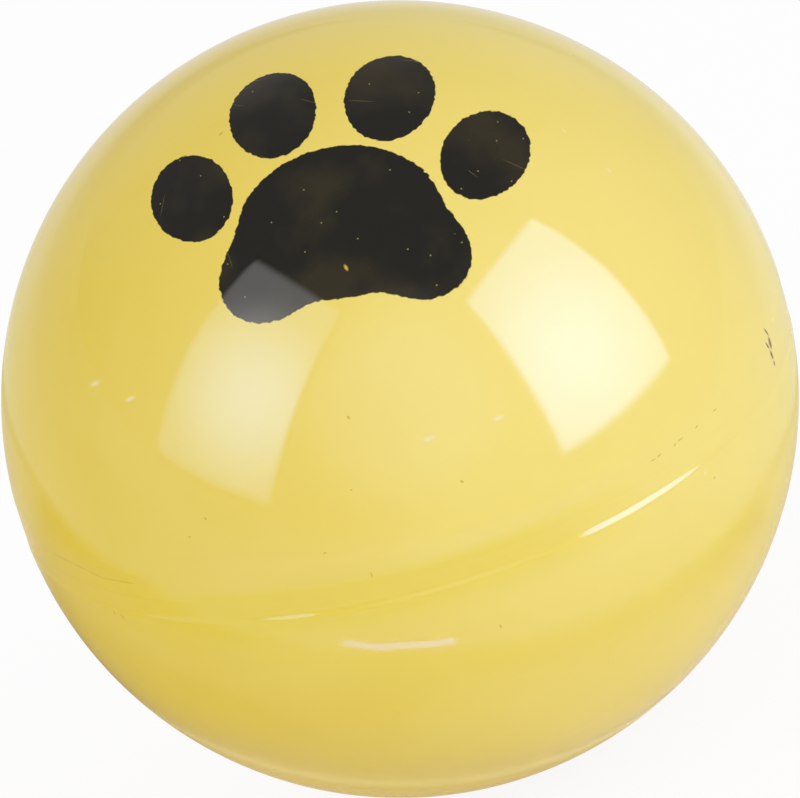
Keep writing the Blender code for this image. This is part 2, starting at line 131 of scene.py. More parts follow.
def vary_roughness(tree, shader, pattern, roughness):
    """Let a noise pattern set how rough a surface is, between two values."""
    tree.links.new(add_range(tree, pattern, NOISE_LOW, NOISE_HIGH, *roughness), shader.inputs["Roughness"])


def mottle(tree, shader, pattern, dark, pale, roughness):
    """Let one noise pattern set a surface's colour and roughness."""
    tree.links.new(add_mix(tree, pattern, dark, pale), shader.inputs["Base Color"])
    vary_roughness(tree, shader, pattern, roughness)


def finish_nodes(material, *names):
    """Put a material on CAD nodes that keep their own shape."""
    for name in names:
        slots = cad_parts[name].data.materials
        slots.clear()
        slots.append(material)


moulded_black, tree, shader, coords = new_material("moulded_black")
mottle(tree, shader, add_noise(tree, coords, BLOOM_SIZE), ABS_BLACK, ABS_BLOOM, ABS_ROUGHNESS)
add_bump(tree, shader, add_noise(tree, coords, SPARK_GRAIN), SPARK_DEPTH)
finish_nodes(moulded_black, "battery_carrier", "switch_base")


# Button cells
# Nickel-plated steel cans, drawn and crimped over a dark gasket round the smaller cap. Handling leaves fine
# scratches and a few duller patches.
CELL_CAP_RADIUS = 4.6 * MM
GASKET_WIDTH = 0.35 * MM
GASKET_BLACK = (0.02, 0.02, 0.022)
CAN_DULL = (0.56, 0.55, 0.52)
CAN_BRIGHT = (0.68, 0.67, 0.64)
CAN_ROUGHNESS = (0.2, 0.38)
CAN_PATCH = 3 * MM
CAN_SCRATCH = 1.5 * MM
CAN_SCRATCH_RUN = (1.0, 14.0, 14.0)
CAN_SCRATCH_DEPTH = 0.004 * MM


def add_math(tree, operation, first, second=0.0):
    """Math on one or two values; each is a number or a socket."""
    return add_node(tree, "ShaderNodeMath", {0: first, 1: second}, operation=operation).outputs["Value"]


def add_vector(tree, operation, first, second=(0.0, 0.0, 0.0)):
    """Vector math: a number for a dot product, length or distance, and a vector for the rest."""
    node = add_node(tree, "ShaderNodeVectorMath", {0: first, 1: second}, operation=operation)
    return node.outputs["Value" if operation in ("DOT_PRODUCT", "LENGTH", "DISTANCE") else "Vector"]


def reach_from_axis(tree, coords):
    """Distance from the ball's upright axis."""
    return add_vector(tree, "LENGTH", add_vector(tree, "MULTIPLY", coords, (1.0, 1.0, 0.0)))


cell_nickel, tree, shader, coords = new_material("cell_nickel", metallic=1.0)
scratches = add_noise(tree, coords, CAN_SCRATCH, stretch=CAN_SCRATCH_RUN)
vary_roughness(tree, shader, scratches, CAN_ROUGHNESS)
add_bump(tree, shader, scratches, CAN_SCRATCH_DEPTH)
reach = reach_from_axis(tree, coords)
outside_cap = add_math(tree, "GREATER_THAN", reach, CELL_CAP_RADIUS)
inside_crimp = add_math(tree, "LESS_THAN", reach, CELL_CAP_RADIUS + GASKET_WIDTH)
gasket = add_math(tree, "MULTIPLY", outside_cap, inside_crimp)
plated = add_mix(tree, add_noise(tree, coords, CAN_PATCH), CAN_DULL, CAN_BRIGHT)
tree.links.new(add_mix(tree, gasket, plated, GASKET_BLACK), shader.inputs["Base Color"])
finish_nodes(cell_nickel, "button_cell_bottom", "button_cell_middle", "button_cell_top")


# Battery contacts
# Strips sheared from nickel-plated strip and a wound contact spring, soldered at the board. The rolling marks
# run along the strips.
STRIP_DULL = (0.5, 0.48, 0.43)
STRIP_BRIGHT = (0.66, 0.63, 0.57)
STRIP_ROUGHNESS = (0.24, 0.42)
ROLLING_MARK = 0.8 * MM
ROLLING_RUN = (0.15, 4.0, 0.15)
ROLLING_DEPTH = 0.006 * MM

contact_nickel, tree, shader, coords = new_material("contact_nickel", metallic=1.0)
rolled = add_noise(tree, coords, ROLLING_MARK, stretch=ROLLING_RUN)
mottle(tree, shader, rolled, STRIP_DULL, STRIP_BRIGHT, STRIP_ROUGHNESS)
add_bump(tree, shader, rolled, ROLLING_DEPTH)
finish_nodes(contact_nickel, "negative_contact", "negative_spring", "positive_contact")


# Foam pad
# A disc punched from closed-cell foam, which presses the strip on the stack. Cut cells show as small pits,
# with painted shade darker towards the middle of each.
FOAM_PIT_SHADE = (0.05, 0.05, 0.052)
FOAM_WALL = (0.16, 0.16, 0.165)
FOAM_ROUGHNESS = 0.95
FOAM_CELL = 0.35 * MM
FOAM_PIT_DEPTH = 0.12 * MM

foam_grey, tree, shader, coords = new_material("foam_grey")
shader.inputs["Roughness"].default_value = FOAM_ROUGHNESS
cells = add_node(tree, "ShaderNodeTexVoronoi", {"Vector": coords, "Scale": 1 / FOAM_CELL})
from_middle = cells.outputs["Distance"]
# Painted shade: each pit is darker towards its middle
tree.links.new(add_mix(tree, from_middle, FOAM_PIT_SHADE, FOAM_WALL), shader.inputs["Base Color"])
add_bump(tree, shader, from_middle, FOAM_PIT_DEPTH)
finish_nodes(foam_grey, "foam_pad")


# Circuit board
# Round phenolic board under green solder mask, with copper tracks that show as paler lines and a bare tan
# edge where it was punched out.
BOARD_RADIUS = (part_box("circuit_board")[1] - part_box("circuit_board")[0]).x / 2
MASK_DEEP = (0.012, 0.1, 0.03)
MASK_PALE = (0.022, 0.16, 0.05)
MASK_ROUGHNESS = (0.28, 0.45)
MASK_PATCH = 2.5 * MM
TRACK_GREEN = (0.05, 0.25, 0.08)
TRACK_PITCH = 1.6 * MM
TRACK_LENGTH = 4 * TRACK_PITCH
TRACK_WIDTH = 0.22 * MM
TRACK_SOFTNESS = 0.3
TRACK_RISE = 0.03 * MM
PUNCHED_TAN = (0.34, 0.22, 0.11)
PUNCHED_EDGE = 0.06 * MM

solder_mask, tree, shader, coords = new_material("solder_mask")
inputs = {
    "Vector": coords, "Scale": 1.0, "Brick Width": TRACK_LENGTH, "Row Height": TRACK_PITCH,
    "Mortar Size": TRACK_WIDTH, "Mortar Smooth": TRACK_SOFTNESS,
}
tracks = add_node(tree, "ShaderNodeTexBrick", inputs, offset=0.5).outputs["Fac"]
patches = add_noise(tree, coords, MASK_PATCH)
vary_roughness(tree, shader, patches, MASK_ROUGHNESS)
tracked = add_mix(tree, tracks, add_mix(tree, patches, MASK_DEEP, MASK_PALE), TRACK_GREEN)
edge = add_math(tree, "GREATER_THAN", reach_from_axis(tree, coords), BOARD_RADIUS - PUNCHED_EDGE)
tree.links.new(add_mix(tree, edge, tracked, PUNCHED_TAN), shader.inputs["Base Color"])
add_bump(tree, shader, tracks, TRACK_RISE)
finish_nodes(solder_mask, "circuit_board")


# Lights and their leads
# Three round LEDs cast in tinted epoxy, on tinned steel leads. The epoxy is clear enough to show depth, with
# faint cloudiness from the casting.
LENS_TINTS = {
    "red_led": ((0.5, 0.008, 0.006), (0.75, 0.03, 0.02)),
    "green_led": ((0.012, 0.34, 0.03), (0.04, 0.5, 0.07)),
    "blue_led": ((0.012, 0.05, 0.5), (0.03, 0.1, 0.72)),
}
LENS_IOR = 1.53
LENS_CLEARNESS = 0.35
LENS_ROUGHNESS = (0.06, 0.14)
LENS_CLOUD = 2.2 * MM
TIN_DULL = (0.55, 0.55, 0.53)
TIN_BRIGHT = (0.74, 0.74, 0.72)
TIN_ROUGHNESS = (0.25, 0.45)
DIP_SIZE = 0.5 * MM
DIP_DEPTH = 0.02 * MM

for light, (deep, pale) in LENS_TINTS.items():
    lens, tree, shader, coords = new_material(f"{light}_epoxy")
    shader.inputs["IOR"].default_value = LENS_IOR
    shader.inputs["Transmission Weight"].default_value = LENS_CLEARNESS
    mottle(tree, shader, add_noise(tree, coords, LENS_CLOUD), deep, pale, LENS_ROUGHNESS)
    finish_nodes(lens, light)

tinned_lead, tree, shader, coords = new_material("tinned_lead", metallic=1.0)
dips = add_noise(tree, coords, DIP_SIZE)
mottle(tree, shader, dips, TIN_DULL, TIN_BRIGHT, TIN_ROUGHNESS)
add_bump(tree, shader, dips, DIP_DEPTH)
finish_nodes(tinned_lead, *(f"{light}_{side}" for light in LENS_TINTS for side in ("anode", "cathode")))


# Small parts on the board
# Chip resistors and the drop of black epoxy over the flasher chip, and a tan ceramic capacitor. The epoxy
# keeps the waves in which it flowed, and the ceramic has a fine grain.
EPOXY_BLACK = (0.008, 0.008, 0.008)
EPOXY_GREY = (0.022, 0.021, 0.02)
EPOXY_ROUGHNESS = (0.18, 0.36)
EPOXY_WAVE = 1.2 * MM
EPOXY_WAVE_DEPTH = 0.05 * MM
CERAMIC_DEEP = (0.36, 0.25, 0.15)
CERAMIC_PALE = (0.5, 0.37, 0.24)
CERAMIC_ROUGHNESS = 0.5
CERAMIC_GRAIN = 0.1 * MM
CERAMIC_DEPTH = 0.01 * MM

black_epoxy, tree, shader, coords = new_material("black_epoxy")
flow = add_noise(tree, coords, EPOXY_WAVE)
mottle(tree, shader, flow, EPOXY_BLACK, EPOXY_GREY, EPOXY_ROUGHNESS)
add_bump(tree, shader, flow, EPOXY_WAVE_DEPTH)
finish_nodes(black_epoxy, "chip_blob", "red_resistor", "green_resistor", "blue_resistor")

tan_ceramic, tree, shader, coords = new_material("tan_ceramic")
shader.inputs["Roughness"].default_value = CERAMIC_ROUGHNESS
grain = add_noise(tree, coords, CERAMIC_GRAIN)
tree.links.new(add_mix(tree, grain, CERAMIC_DEEP, CERAMIC_PALE), shader.inputs["Base Color"])
add_bump(tree, shader, grain, CERAMIC_DEPTH)
finish_nodes(tan_ceramic, "capacitor")


# Motion switch pin
# A turned brass pin through the middle of the coil. The tool leaves fine rings along it, brighter and duller
# by turns.
BRASS_DULL = (0.56, 0.36, 0.13)
BRASS_BRIGHT = (0.76, 0.54, 0.22)
BRASS_ROUGHNESS = (0.22, 0.4)
TOOL_RING = 0.6 * MM
TOOL_RING_RUN = (0.1, 0.1, 6.0)
TOOL_RING_DEPTH = 0.006 * MM

turned_brass, tree, shader, coords = new_material("turned_brass", metallic=1.0)
rings = add_noise(tree, coords, TOOL_RING, stretch=TOOL_RING_RUN)
mottle(tree, shader, rings, BRASS_DULL, BRASS_BRIGHT, BRASS_ROUGHNESS)
add_bump(tree, shader, rings, TOOL_RING_DEPTH)
finish_nodes(turned_brass, "switch_pin")


# Motion spring
# A coil of fine spring steel on the switch base, wound from drawn wire.
COIL_WIRE = 0.3 * MM
COIL_TURNS = 8
WIRE_SIDES = 10
STEPS_PER_TURN = 28
DOUBLES_WITHIN = 0.001 * MM
STEEL_DULL = (0.46, 0.46, 0.47)
STEEL_BRIGHT = (0.66, 0.66, 0.66)
STEEL_ROUGHNESS = (0.22, 0.38)
DRAWN_MARK = 0.4 * MM

coil_low, coil_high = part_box("motion_spring")
coil_radius = (coil_high - coil_low).x / 2 - COIL_WIRE / 2
coil_rise = (coil_high - coil_low).z - COIL_WIRE
bpy.ops.object.select_all(action="DESELECT")
bpy.ops.mesh.primitive_circle_add(
    vertices=WIRE_SIDES,
    radius=COIL_WIRE / 2,
    fill_type="NGON",
    location=(coil_radius, 0.0, coil_low.z + COIL_WIRE / 2),
    rotation=(math.pi / 2, 0.0, 0.0),
)
motion_spring = bpy.context.object
motion_spring.name = "bending_spring"
bpy.ops.object.transform_apply(location=True, rotation=True, scale=True)
wind = motion_spring.modifiers.new("Wind", "SCREW")
wind.axis = "Z"
wind.angle = 2 * math.pi
wind.screw_offset = coil_rise / COIL_TURNS
wind.iterations = COIL_TURNS
wind.steps = STEPS_PER_TURN
wind.render_steps = STEPS_PER_TURN
bpy.ops.object.modifier_apply(modifier=wind.name)
bpy.ops.object.mode_set(mode="EDIT")
bpy.ops.mesh.select_all(action="SELECT")
bpy.ops.mesh.remove_doubles(threshold=DOUBLES_WITHIN)
bpy.ops.mesh.select_non_manifold()
bpy.ops.mesh.edge_face_add()
bpy.ops.mesh.select_all(action="SELECT")
bpy.ops.mesh.normals_make_consistent(inside=False)
bpy.ops.object.mode_set(mode="OBJECT")
bpy.ops.object.shade_smooth()

spring_steel, tree, shader, coords = new_material("spring_steel", metallic=1.0)
mottle(tree, shader, add_noise(tree, coords, DRAWN_MARK), STEEL_DULL, STEEL_BRIGHT, STEEL_ROUGHNESS)
motion_spring.data.materials.append(spring_steel)
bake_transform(motion_spring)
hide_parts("motion_spring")


# Module screws
# Zinc-plated self-tapping screws with a cross recess, driven through the board and the carrier into the
# posts. The plating is slightly mottled.
ZINC_DULL = (0.44, 0.45, 0.46)
ZINC_BRIGHT = (0.62, 0.62, 0.6)
ZINC_ROUGHNESS = (0.28, 0.46)
SPANGLE_SIZE = 0.5 * MM

zinc_plate, tree, shader, coords = new_material("zinc_plate", metallic=1.0)
mottle(tree, shader, add_noise(tree, coords, SPANGLE_SIZE), ZINC_DULL, ZINC_BRIGHT, ZINC_ROUGHNESS)
finish_nodes(zinc_plate, "module_screw_1", "module_screw_2", "module_screw_3")


# Half shells
# Two polystyrene mouldings, polished and slightly milky, lapped and welded at a shallow groove. Each is drawn
# ring by ring from its pole, out over the ball, in at the groove and back along the inner wall.
BALL_RADIUS = (cad_box[1] - cad_box[0]).z / 2
WALL = 2.0 * MM
GROOVE_DEPTH = 0.135 * MM
# Height off the seam where each side of the groove starts and where it reaches the flat bottom
UPPER_GROOVE_EDGE = (1.8 * MM, 0.48 * MM)
LOWER_GROOVE_EDGE = (1.335 * MM, 0.886 * MM)
# The rims are slightly oval, so the groove is deep in front and behind and all but closes at the sides
GROOVE_SHARE_ASIDE = 0.3
GROOVE_DEEPEST_DEG = 4.0
GROOVE_DEEP_FROM = 0.0
GROOVE_DEEP_TO = 0.62
JOINT_GAP = 0.001 * MM
TONGUE_HEIGHT = 1.6 * MM
TONGUE_THICKNESS = 0.9 * MM
TONGUE_CLEARANCE = 0.1 * MM
SHELL_SIDES = 192
OUTER_RINGS = 64
INNER_RINGS = 40
GROOVE_STEPS = 10
SHARP_EDGE_DEG = 40.0
inner_radius = BALL_RADIUS - WALL


def ease(share):
    """Smooth step from 0 to 1, level at both ends."""
    return share * share * (3.0 - 2.0 * share)


def arc_rings(radius, start_deg, end_deg, count):
    """Rings (radius, height) along the ball, by angle above the seam."""
    rings = []
    for step in range(count + 1):
        angle = math.radians(start_deg + (end_deg - start_deg) * step / count)
        rings.append((radius * math.cos(angle), radius * math.sin(angle)))
    return rings


def last_ring_deg(count):
    """Angle above the seam of the small ring round the pole, half a step from it."""
    return 90.0 * (1.0 - 0.5 / count)


def outside_rings(edge, bottom):
    """Rings from the pole down the ball, over the eased side of the groove and along its flat bottom."""
    edge_deg = math.degrees(math.asin(edge / BALL_RADIUS))
    rings = arc_rings(BALL_RADIUS, last_ring_deg(OUTER_RINGS), edge_deg, OUTER_RINGS)
    for step in range(1, GROOVE_STEPS + 1):
        share = step / GROOVE_STEPS
        height = edge + (bottom - edge) * share
        rings.append((math.sqrt(BALL_RADIUS**2 - height**2) - GROOVE_DEPTH * ease(share), height))
    rings.append((BALL_RADIUS - GROOVE_DEPTH, JOINT_GAP))
    return rings


def draw_shell(name, rings, side):
    """Closed shell from rings that run from the outer pole to the inner pole; side is 1 up or -1 down."""
    bpy.ops.object.select_all(action="DESELECT")
    radius, height = rings[0]
    bpy.ops.mesh.primitive_circle_add(
        vertices=SHELL_SIDES, radius=radius, fill_type="TRIFAN", location=(0.0, 0.0, side * height)
    )
    shell = bpy.context.object
    shell.name = name
    bpy.ops.object.transform_apply(location=True, rotation=True, scale=True)
    bpy.ops.object.mode_set(mode="EDIT")
    bpy.ops.mesh.select_all(action="SELECT")
    bpy.ops.mesh.region_to_loop()
    for next_radius, next_height in rings[1:]:
        step = (0.0, 0.0, side * (next_height - height))
        bpy.ops.mesh.extrude_edges_move(TRANSFORM_OT_translate={"value": step})
        grow = next_radius / radius
        bpy.ops.transform.resize(value=(grow, grow, 1.0), center_override=(0.0, 0.0, 0.0))
        radius, height = next_radius, next_height
    bpy.ops.mesh.extrude_edges_move()
    bpy.ops.mesh.merge(type="CENTER")
    bpy.ops.mesh.select_all(action="SELECT")
    bpy.ops.mesh.normals_make_consistent(inside=False)
    bpy.ops.object.mode_set(mode="OBJECT")
    bpy.ops.object.shade_smooth_by_angle(angle=math.radians(SHARP_EDGE_DEG))
    return shell


def close_groove_aside(shell):
    """Raise the groove of a shell at its sides, by how far round the ball each point lies."""
    for vertex in shell.data.vertices:
        x, y, z = vertex.co
        on_ball = math.sqrt(max(BALL_RADIUS**2 - z**2, 0.0))
        radius = math.hypot(x, y)
        sunk = on_ball - radius
        # Points far off the groove or deep in the wall stay
        if abs(z) > UPPER_GROOVE_EDGE[0] or sunk > 2 * GROOVE_DEPTH:
            continue
        lobe = math.cos(2.0 * (math.atan2(x, -y) - math.radians(GROOVE_DEEPEST_DEG)))
        deep = ease(min(max((lobe - GROOVE_DEEP_FROM) / (GROOVE_DEEP_TO - GROOVE_DEEP_FROM), 0.0), 1.0))
        grow = (on_ball - sunk * (GROOVE_SHARE_ASIDE + (1.0 - GROOVE_SHARE_ASIDE) * deep)) / radius
        vertex.co = (x * grow, y * grow, z)


tongue_radius = inner_radius + TONGUE_THICKNESS
rebate_radius = tongue_radius + TONGUE_CLEARANCE
rebate_top = TONGUE_HEIGHT + TONGUE_CLEARANCE
rebate_deg = math.degrees(math.asin(rebate_top / inner_radius))
upper_rim = [(rebate_radius, JOINT_GAP), (rebate_radius, rebate_top)]
upper_inside = arc_rings(inner_radius, rebate_deg, last_ring_deg(INNER_RINGS), INNER_RINGS)
upper_shell = draw_shell("printed_shell", outside_rings(*UPPER_GROOVE_EDGE) + upper_rim + upper_inside, 1)
close_groove_aside(upper_shell)

lower_rim = [(tongue_radius, JOINT_GAP), (tongue_radius, -TONGUE_HEIGHT), (inner_radius, -TONGUE_HEIGHT)]
lower_inside = arc_rings(inner_radius, 0.0, last_ring_deg(INNER_RINGS), INNER_RINGS)
lower_shell = draw_shell("plain_shell", outside_rings(*LOWER_GROOVE_EDGE) + lower_rim + lower_inside, -1)
close_groove_aside(lower_shell)


# Screw posts of the lower shell
# Three hollow posts moulded in one with the lower shell, from its wall up to the carrier. Each is a round
# bar, trimmed half way into the wall, joined to it and drilled for its screw.
POST_RADIUS = 2.1 * MM
POST_SIDES = 40
PILOT_RADIUS = 1.0 * MM
PILOT_SIDES = 24
PILOT_DEPTH = 6.5 * MM
STAND_OFF_HEIGHT = 1.3 * MM
FLANGE_THICKNESS = 1.5 * MM
POST_SEAT_GAP = 0.1 * MM
WALL_BALL_SIDES, WALL_BALL_RINGS = 64, 48


def upright_bar(sides, radius, length, axis, top):
    """Upright round bar on the axis through this place, down from this height."""
    middle = (axis.x, axis.y, top - length / 2)
    bpy.ops.mesh.primitive_cylinder_add(vertices=sides, radius=radius, depth=length, location=middle)
    bpy.ops.object.transform_apply(location=True, rotation=True, scale=True)
    return bpy.context.object


post_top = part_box("battery_carrier")[1].z - STAND_OFF_HEIGHT - FLANGE_THICKNESS - POST_SEAT_GAP
for number in (1, 2, 3):
    low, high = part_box(f"module_screw_{number}")
    screw_middle = (low + high) / 2
    bpy.ops.object.select_all(action="DESELECT")
    bpy.ops.mesh.primitive_uv_sphere_add(
        segments=WALL_BALL_SIDES, ring_count=WALL_BALL_RINGS, radius=inner_radius + WALL / 2
    )
    wall_ball = bpy.context.object
    post = upright_bar(POST_SIDES, POST_RADIUS, BALL_RADIUS, screw_middle, post_top)
    pilot = upright_bar(PILOT_SIDES, PILOT_RADIUS, 2 * PILOT_DEPTH, screw_middle, post_top + PILOT_DEPTH)
    for target, tool, operation in (
        (post, wall_ball, "INTERSECT"),
        (lower_shell, post, "UNION"),
        (lower_shell, pilot, "DIFFERENCE"),
    ):
        boolean = target.modifiers.new("Cut", "BOOLEAN")
        boolean.operation = operation
        boolean.solver = "EXACT"
        boolean.object = tool
        with bpy.context.temp_override(object=target, active_object=target):
            bpy.ops.object.modifier_apply(modifier=boolean.name)
    for tool in (wall_ball, post, pilot):
        bpy.data.objects.remove(tool, do_unlink=True)


# Shell plastic
# Milky yellow polystyrene with a hard polish over a faint haze of fine scratches. Play has left pale nicks,
# short scratches and dark specks, and the upper edge of the groove is chipped here and there.
YELLOW_DEEP = (0.81, 0.61, 0.085)
YELLOW_PALE = (0.875, 0.715, 0.2)
PLASTIC_IOR = 1.57
POLISH_TINT = (0.19, 0.48, 1.0)
# Painted light: paler on the side that faces the brighter right-hand box; painted shade: deeper towards the
# foot; with a faint cloud through it
PAINTED_LIT_SIDE = (0.94, -0.35, 0.0)
PAINTED_LIT_FROM, PAINTED_LIT_TO = -0.65 * BALL_RADIUS, 0.75 * BALL_RADIUS
PAINTED_SHADE_BELOW = 0.25
PAINTED_SHADE_FROM = -0.38 * BALL_RADIUS
CLOUD_SIZE = 14 * MM
CLOUD_LOW, CLOUD_HIGH = 0.35, 0.65
CLOUD_SHARE = 0.12
# Painted shade: the yellow is deeper along the groove in front, where shade falls in it
YELLOW_GROOVE_SHADE = (0.81, 0.622, 0.07)
GROOVE_SHADE_SIDE = (-0.26, -0.966, 0.0)
GROOVE_SHADE_FROM, GROOVE_SHADE_TO = 0.7 * BALL_RADIUS, 0.97 * BALL_RADIUS
GROOVE_SHADE_SHARE = 0.75
GROOVE_SHADE_BELOW = (-3.4 * MM, -1.0 * MM)
GROOVE_SHADE_ABOVE = (0.2 * MM, 1.0 * MM)
NICK_PALE = (0.88, 0.73, 0.4)
NICK_SHARE = 0.8
NICK_DULL = 0.5
NICK_DEPTH = 0.6
SPECK_BROWN = (0.58, 0.43, 0.05)
CHIP_BROWN = (0.66, 0.5, 0.07)
GOUGE_BROWN = (0.2, 0.14, 0.02)
# The front keeps only the marks placed below; the rest is strewn with a few more
WIPED_SIDE = (0.0, -0.91, 0.41)
WIPED_FROM, WIPED_TO = 0.25 * BALL_RADIUS, 0.4 * BALL_RADIUS
STREWN_NICKS = {"spacing": 9 * MM, "half_length": 0.35 * MM, "half_width": 0.08 * MM, "rarity": 0.86}
STREWN_SPECKS = {"spacing": 6 * MM, "half_length": 0.14 * MM, "half_width": 0.07 * MM, "rarity": 0.75}
# How much of a mark is solid before it fades, and how far out the fade ends
STROKE_SOLID_ALONG, STROKE_SOLID_ACROSS = 0.5, 0.3
NICK_SOLID, SPECK_SOLID, CHIP_SOLID = 0.1, 0.2, 0.4
MARK_END = 1.1
HAZE_SIZE = 9 * MM
HAZE_LOW, HAZE_HIGH = 0.35, 0.7
HAZE_ROUGHNESS = (0.05, 0.085)
HAIR_SIZE = 1.2 * MM
HAIR_RUN = (1.0, 9.0, 0.6)
HAIR_SHARE = 0.04
RIPPLE_SIZE = 7 * MM
RIPPLE_DEPTH = 0.012 * MM
# Each mark: degrees round from the front and above the seam, length and width in mm, turn in degrees
NICKS = (
    (2.3, 18.2, 1.0, 0.38, 0.0),
    (12.7, 17.6, 0.95, 0.36, -3.0),
    (-53.3, 30.4, 1.2, 0.4, 24.0),
    (-45.0, 29.1, 1.0, 0.36, 22.0),
    (55.7, 46.9, 0.7, 0.16, -116.0),
    (55.0, 38.6, 0.7, 0.16, -88.0),
    (69.4, 4.3, 0.5, 0.2, -84.0),
    (40.8, -4.4, 0.4, 0.16, -59.0),
)
SPECKS = (
    (-2.6, 44.0, 0.5, 0.24, -75.0),
    (-40.1, 69.1, 0.4, 0.2, 57.0),
    (-8.1, 23.9, 0.3, 0.18, -70.0),
    (4.9, 11.2, 0.3, 0.16, -56.0),
    (4.3, -11.6, 0.35, 0.14, -81.0),
    (-10.7, 1.6, 0.45, 0.12, -90.0),
    (-53.1, -4.1, 0.6, 0.12, -44.0),
    (-54.8, -3.7, 0.4, 0.12, -90.0),
    (-32.6, 12.8, 0.25, 0.16, -62.0),
    (42.5, -6.1, 0.2, 0.15, 20.0),
    (-35.8, 10.2, 0.2, 0.12, 40.0),
    (-16.1, 6.2, 0.25, 0.12, 20.0),
    (-10.2, 14.2, 0.18, 0.12, 0.0),
)
GOUGES = (
    (65.3, 4.5, 0.9, 0.2, -63.0),
    (65.4, 2.7, 0.95, 0.46, -86.0),
    (64.2, 2.9, 0.8, 0.2, -60.0),
    (64.8, 1.1, 0.8, 0.34, -76.0),
    (64.9, -0.3, 0.4, 0.26, -92.0),
)
CHIPS = (
    (32.7, 2.1, 0.5, 0.09, -3.0),
    (33.9, 2.2, 0.42, 0.14, 12.0),
    (37.0, 2.2, 0.28, 0.13, 31.0),
    (38.2, 2.4, 0.6, 0.11, 4.0),
    (41.7, 2.5, 0.35, 0.14, 15.0),
    (46.1, 2.7, 0.5, 0.1, -3.0),
    (-64.8, 2.55, 3.4, 0.1, 1.0),
    (-59.9, 2.5, 1.9, 0.1, -3.5),
    (-56.6, 2.15, 1.9, 0.09, -8.6),
    (-53.2, 2.0, 2.0, 0.09, 3.2),
    (-49.8, 2.15, 1.8, 0.09, 1.8),
    (-109.0, 2.4, 2.4, 0.07, 0.0),
    (98.0, 2.5, 1.2, 0.1, 0.0),
    (151.0, 2.5, 1.8, 0.08, 0.0),
)


def oval_reach(tree, coords, middle, width_axis, height_axis):
    """How far out a place lies in an oval on the ball: 0 at its middle and 1 at its edge."""
    offset = add_vector(tree, "SUBTRACT", coords, middle)
    # The last axis keeps the oval off the far side of the ball
    axes = {"X": width_axis, "Y": height_axis, "Z": middle / BALL_RADIUS**2}
    inputs = {name: add_vector(tree, "DOT_PRODUCT", offset, axis) for name, axis in axes.items()}
    oval = add_node(tree, "ShaderNodeCombineXYZ", inputs)
    return add_vector(tree, "LENGTH", oval.outputs["Vector"])


def placed_marks(tree, coords, marks, solid_share):
    """Oval marks at their own places, 1 inside and 0 outside, solid up to this share and then fading."""
    found = None
    for round_deg, above_deg, length, width, turn_deg in marks:
        round_by, above, lean = math.radians(round_deg), math.radians(above_deg), math.radians(turn_deg)
        east = Vector((math.cos(round_by), math.sin(round_by), 0.0))
        outward = Vector((math.sin(round_by), -math.cos(round_by), math.tan(above))).normalized()
        north = outward.cross(east)
        length_axis = (east * math.cos(lean) + north * math.sin(lean)) / (length / 2 * MM)
        width_axis = (north * math.cos(lean) - east * math.sin(lean)) / (width / 2 * MM)
        reach = oval_reach(tree, coords, outward * BALL_RADIUS, length_axis, width_axis)
        found = reach if found is None else add_math(tree, "MINIMUM", found, reach)
    return add_range(tree, found, solid_share, MARK_END, 1.0, 0.0, smooth=True)


def sparse_marks(tree, coords, spacing, half_length, half_width, rarity):
    """Short strokes at odd angles, one to a cell of this spacing, in the share of cells above rarity."""
    cells = add_node(tree, "ShaderNodeTexVoronoi", {"Vector": coords, "Scale": 1 / spacing}).outputs
    outward = add_vector(tree, "NORMALIZE", coords)
    odd = add_vector(tree, "SUBTRACT", cells["Color"], (0.5, 0.5, 0.5))
    along = add_vector(tree, "NORMALIZE", add_vector(tree, "CROSS_PRODUCT", outward, odd))
    across = add_vector(tree, "CROSS_PRODUCT", outward, along)
    offset = add_vector(tree, "SUBTRACT", coords, cells["Position"])
    run = add_math(tree, "ABSOLUTE", add_vector(tree, "DOT_PRODUCT", offset, along))
    side = add_math(tree, "ABSOLUTE", add_vector(tree, "DOT_PRODUCT", offset, across))
    within = add_range(tree, run, half_length * STROKE_SOLID_ALONG, half_length, 1.0, 0.0)
    narrow = add_range(tree, side, half_width * STROKE_SOLID_ACROSS, half_width, 1.0, 0.0)
    chance = add_node(tree, "ShaderNodeSeparateColor", {"Color": cells["Color"]}).outputs["Blue"]
    chosen = add_math(tree, "GREATER_THAN", chance, rarity)
    return add_math(tree, "MULTIPLY", add_math(tree, "MULTIPLY", within, narrow), chosen)


